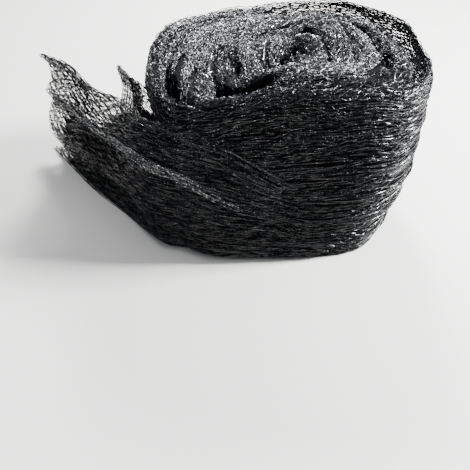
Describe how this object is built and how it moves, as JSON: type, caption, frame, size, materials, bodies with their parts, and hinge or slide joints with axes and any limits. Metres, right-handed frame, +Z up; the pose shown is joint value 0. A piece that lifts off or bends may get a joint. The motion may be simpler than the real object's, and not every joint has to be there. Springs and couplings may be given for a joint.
{
  "type": "bird netting",
  "caption": "Knitted black bird netting gathered into a band and wound into a loose upright roll with an open end, for covering plants, beds or fruit",
  "frame": {"origin": "on the ground under the wound roll, on its flat lower end", "axes": "+Z up, -Y towards the front of the roll, the open end of the band reaches towards -X"},
  "size_m": [0.4727, 0.2583, 0.2088],
  "materials": {
    "black_net": "black knitted plastic yarn, dull in the mass with small bright glints"
  },
  "bodies": {
    "root": {"net_roll": "black_net", "loose_end": "black_net", "loose_end_back": "black_net"}
  },
  "joints": []
}
